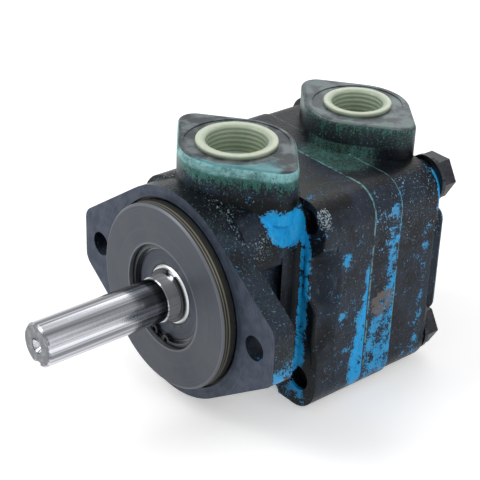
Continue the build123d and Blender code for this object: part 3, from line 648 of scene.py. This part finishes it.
def neck_hood(name, centre_angle, spread, foot_radius, material):
    """The neck's swelling towards the flange.

    On each direction from the axis the radius runs from foot_radius at the flange to the neck's own
    outline at the block, along a smooth S of the distance.  Its sides fade below the neck's skin, and
    an inner sheet 4 mm deeper closes it.
    """
    lean = np.linspace(-1, 1, 97)
    along = np.linspace(0, 1, 40)
    angle = radians(centre_angle) + lean * radians(spread)
    way = np.stack([np.cos(angle), np.sin(angle)], -1)
    own = outline_reach(way, neck_outline)
    fade = np.clip((1 - np.abs(lean)) / 0.4, 0, 1)
    swell = (foot_radius - own)[:, None] * (1 - ease(along)) * ease(fade)[:, None]
    radius = own[:, None] + swell - 0.6 * (1 - fade[:, None]) + 0.02
    station = np.broadcast_to(FLANGE_REAR - 0.1 + along * 29.3, radius.shape)

    def sheet(reach):
        """Points at a reach from the axis."""
        return np.stack([way[:, None, 0] * reach, station, way[:, None, 1] * reach], -1)

    return closed_sheet(name, sheet(radius), sheet(radius - 4), material)


cast_root("neck_root_rear", neck_outline, hollow_profile(3.2, BLOCK_FRONT + 0.1, -1), front_finish)
neck_hood("neck_hood_top", 90, 60, 44.5, front_finish)
neck_hood("neck_hood_bottom", 270, 58, 44.5, front_finish)


# ---- humps and hollows of the block's front
def rounded_lump(name, centre, radii, power, material):
    """A closed lump: on each direction (angle, rise) the radius of a superellipsoid of the given power."""
    rise = np.linspace(-pi / 2, pi / 2, 42)[1:-1]
    turn = np.linspace(0, 2 * pi, 72, endpoint=False)
    rise, turn = np.meshgrid(rise, turn, indexing="ij")
    way = np.stack([np.cos(rise) * np.cos(turn), np.cos(rise) * np.sin(turn), np.sin(rise)], -1)
    reach = (np.abs(way / np.array(radii)) ** power).sum(-1) ** (-1 / power)
    skin = (np.array(centre) + way * reach[..., None]).reshape(-1, 3)
    poles = np.array([centre, centre], float)
    poles[:, 2] += (-radii[2], radii[2])
    points = np.concatenate([skin, poles]) * MM
    rows, columns = rise.shape
    quads = ring_faces(rows, columns)[: (rows - 1) * columns][:, ::-1]
    ring = np.arange(columns)
    fans = pole_fans(ring, (rows - 1) * columns + ring, len(skin))
    return add_piece(name, points, quads.tolist() + fans, material)


def side_hollow(name, side, material):
    """The block's side wall behind its front edge, with a soft hollow that runs out towards the rear.

    On a grid of stations y and heights z the skin's x is the wall less depth times fall.  The depth is
    2.3 mm between the bolt columns and 6 mm more in the upper hollow, joined by smooth steps of z.  The
    fall is a smooth step from 1 at the front edge to 0 at y 50.5, and a Gaussian pad stands above the
    lower column.  An inner sheet 4 mm deeper closes it.
    """
    heights = np.linspace(-29.5, 33.5, 180)
    z, y = np.meshgrid(heights, np.linspace(BLOCK_FRONT - 0.06, BLOCK_FRONT + 12, 60), indexing="ij")
    shallow = 2.3 * ease((z + 26.0) / 8) * ease((29 - z) / 9)
    deep = 6.0 * ease((z + 4) / 9) * ease((30 - z) / 9)
    fall = 1 - ease((y - BLOCK_FRONT - 1) / 10)
    pad = 1.5 * np.exp(-((y - 43.4) ** 2 + (z + 18.5) ** 2) / 6)
    skin = SIDE + 0.04 - ((shallow + deep) * fall - pad).clip(0)
    sheets = [np.stack([side * x, y, z], -1) for x in (skin, skin - 4)]
    return closed_sheet(name, *sheets, material)


for name, side in (("right", 1), ("left", -1)):
    rounded_lump(f"{name}_bolt_hump", (side * 28.0, 38.6, 36.0), (8.4, 8.6, 12.4), 2.3, front_finish)
    side_hollow(f"{name}_side_hollow", side, front_finish)


# ---- pads on the cover's rear
def cast_slab(name, circles, front, rear, material):
    """A raised pad of a casting: the hull of circles carried from front to rear along the shaft.

    Its rear edge follows a quarter of a circle, and its ends close on two poles.
    """
    edge = 3.0
    angle = np.linspace(0, 2 * pi, 288, endpoint=False)
    way = np.stack([np.cos(angle), np.sin(angle)], -1)
    circles = np.array(circles, float)
    best = np.argmax(way @ circles[:, :2].T + circles[:, 2], axis=1)
    bend = np.linspace(0, pi / 2, 9)
    offset = np.concatenate([[0, 0], edge * (np.cos(bend) - 1)])
    station = np.concatenate([[front, rear - edge], rear - edge + edge * np.sin(bend)])
    flat = circles[best, None, :2] + (circles[best, 2][:, None] + offset)[..., None] * way[:, None, :]
    grid = np.stack([flat[..., 0], np.broadcast_to(station, flat.shape[:2]), flat[..., 1]], -1)
    middle = circles[:, :2].mean(0)
    poles = [[middle[0], front, middle[1]], [middle[0], rear, middle[1]]]
    points = np.concatenate([grid.reshape(-1, 3), poles]) * MM
    rows, columns = grid.shape[:2]
    quads = ring_faces(rows, columns).reshape(rows, columns, 4)[:, :-1].reshape(-1, 4)
    ring = np.arange(rows)[::-1] * columns
    fans = pole_fans(ring, ring + columns - 1, rows * columns)
    return add_piece(name, points, outward(points, quads).tolist() + fans, material)


upright_corners = [(x, z, 6) for x in (-20, 20) for z in (40.9, -46.4)]
across_corners = [(x, z, 6) for x in (-42.44, 42.44) for z in (20.5, -20.5)]
cast_slab("cover_pad_upright", upright_corners, COVER_REAR - 6, COVER_REAR + 3.5, cover_finish)
cast_slab("cover_pad_across", across_corners, COVER_REAR - 5.5, COVER_REAR + 3.3, cover_finish)


# ---- port caps
def cup_profile(rim, plug):
    """Outline (radius, height) of a cup, from its underside over the rim and down the ribbed wall.

    The inner wall's radius swings by a cosine of the height, which makes the moulded thread ribs.
    """
    depth, wall, chamfer, hub = 12.0, 1.2, 0.8, 0.6
    lip, lip_foot, mouth = 0.7, 1.1, 1.6
    rib, floor_round, dome = 0.3, 1.0, 0.25
    base = PORT_SEAT - depth
    floor = base + wall
    inner = rim * 0.755
    bend = np.linspace(0, pi / 2, 7)
    under = [
        [hub, base], [plug - chamfer, base], [plug, base + chamfer], [plug, PORT_SEAT], [rim, PORT_SEAT]
    ]
    outer_edge = np.stack([rim - lip + lip * np.cos(bend), PORT_SEAT + lip_foot + lip * np.sin(bend)], -1)
    inner_edge = np.stack(
        [inner + mouth - mouth * np.sin(bend), PORT_SEAT + 0.5 + lip_foot * np.cos(bend)], -1
    )
    down = np.linspace(PORT_SEAT + 0.3, floor + floor_round, 90)
    swing = 0.5 - 0.5 * np.cos((down - PORT_SEAT) * 2 * pi / RIB_PITCH)
    ribbed = np.stack([inner - rib * swing * (down < PORT_SEAT), down], -1)
    root = np.stack(
        [inner - floor_round * (1 - np.cos(bend)), floor + floor_round - floor_round * np.sin(bend)], -1
    )
    dish = np.linspace(inner - wall, hub, 14)
    bottom = np.stack([dish, floor + dome * np.cos(dish / inner * pi) * (dish < inner - floor_round)], -1)
    return np.concatenate([np.array(under), outer_edge, inner_edge, ribbed, root, bottom])


def port_cap(name, body, y, rim, plug, material):
    """A turned cup: its outline is carried round the port's axis and closed on two poles."""
    profile = cup_profile(rim, plug)
    turn = np.linspace(0, 2 * pi, 160, endpoint=False)
    across, height = profile[:, 0, None], profile[:, 1, None]
    shape = (len(profile), len(turn))
    ring = np.stack(
        [across * np.cos(turn), y + across * np.sin(turn), np.broadcast_to(height, shape)], -1
    )
    poles = [[0, y, profile[0, 1]], [0, y, profile[-1, 1]]]
    points = np.concatenate([ring.reshape(-1, 3), poles]) * MM
    rows, columns = shape
    quads = ring_faces(rows, columns)[: (rows - 1) * columns][:, ::-1]
    edge = np.arange(columns)
    fans = pole_fans(edge, (rows - 1) * columns + edge, rows * columns)
    cap = add_piece(name, points, quads.tolist() + fans, material, body)
    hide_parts(body)


for port, y, rim, plug, inner in (
    ("inlet", INLET_Y, 17.45, 15.95, 13.2), ("outlet", OUTLET_Y, 15.1, 12.95, 11.4),
):
    plastic = cap_plastic(f"{port}_cap_plastic", y, inner, PORT_SEAT)
    port_cap(f"{port}_cap_moulded", f"{port}_cap", y, rim, plug, plastic)
    finishes[f"{port}_cap"] = plastic

for node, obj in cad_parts.items():
    for slot in obj.material_slots:
        slot.material = finishes[node]

# ---------------------------------------------------------------- floor, light and camera
floor_finish = Finish("pale_floor", Roughness=0.8)
floor_finish.shader.inputs["Base Color"].default_value = (0.86, 0.86, 0.86, 1)
floor_finish.shader.inputs["Emission Strength"].default_value = 1.0
ray_kinds = ("Camera", "Glossy", "Transmission")
rays = [floor_finish.add("ShaderNodeLightPath", out=f"Is {kind} Ray") for kind in ray_kinds]
seen = rays[0].most(rays[1]).most(rays[2])
lift = floor_finish.mix(seen, (0, 0, 0, 1), (0.37, 0.37, 0.37, 1))
floor_finish.tree.links.new(lift.socket, floor_finish.shader.inputs["Emission Color"])
floor_mesh = bpy.data.meshes.new("floor")
reach, level = 3.0, cad_low.z - 0.00005
corners = [(x * reach, y * reach, level) for x, y in ((-1, -1), (1, -1), (1, 1), (-1, 1))]
floor_mesh.from_pydata(corners, [], [(0, 1, 2, 3)])
floor_mesh.materials.append(floor_finish.material)
floor = bpy.data.objects.new("floor", floor_mesh)
scene.collection.objects.link(floor)

world = bpy.data.worlds.new("studio")
scene.world = world
world.use_nodes = True
sky = world.node_tree.nodes["Background"]
sky.inputs["Color"].default_value = (1, 1, 1, 1)
path = world.node_tree.nodes.new("ShaderNodeLightPath")
strength = world.node_tree.nodes.new("ShaderNodeMapRange")
strength.inputs["To Min"].default_value = 0.5
strength.inputs["To Max"].default_value = 1.0
share = path.outputs[f"Is {ray_kinds[0]} Ray"]
for kind in ray_kinds[1:]:
    joined = world.node_tree.nodes.new("ShaderNodeMath")
    joined.operation = "MAXIMUM"
    world.node_tree.links.new(share, joined.inputs[0])
    world.node_tree.links.new(path.outputs[f"Is {kind} Ray"], joined.inputs[1])
    share = joined.outputs[0]
world.node_tree.links.new(share, strength.inputs["Value"])
world.node_tree.links.new(strength.outputs["Result"], sky.inputs["Strength"])

middle = Vector((0.0, 0.03, 0.0))


def soft_light(name, place, size, power):
    """A square lamp at a place that looks at the middle of the pump."""
    lamp = bpy.data.lights.new(name, "AREA")
    lamp.size, lamp.energy = size, power
    obj = bpy.data.objects.new(name, lamp)
    scene.collection.objects.link(obj)
    obj.location = place
    obj.rotation_euler = (middle - Vector(place)).to_track_quat("-Z", "Y").to_euler()


soft_light("key", (-0.55, -0.75, 0.95), 0.7, 9.0)
soft_light("fill", (0.95, 0.15, 0.7), 0.8, 3.6)
soft_light("back", (-0.5, 0.9, 0.8), 0.8, 3.0)

azimuth, rise, roll = (radians(v) for v in (49.216, 28.901, -2.263))
right = np.array([cos(azimuth), sin(azimuth), 0])
back = np.array([sin(azimuth) * cos(rise), -cos(azimuth) * cos(rise), sin(rise)])
spin = np.array([[cos(roll), -sin(roll), 0], [sin(roll), cos(roll), 0], [0, 0, 1]])
axes = spin @ np.array([right, np.cross(back, right), back])
eye = Matrix(axes.T.tolist()).to_4x4()
eye.translation = Vector((0.405903, -0.313998, 0.309806))
lens = bpy.data.cameras.new("camera")
lens.lens, lens.sensor_width = 105.957, 36.0
camera = bpy.data.objects.new("camera", lens)
scene.collection.objects.link(camera)
camera.matrix_world = eye
scene.camera = camera
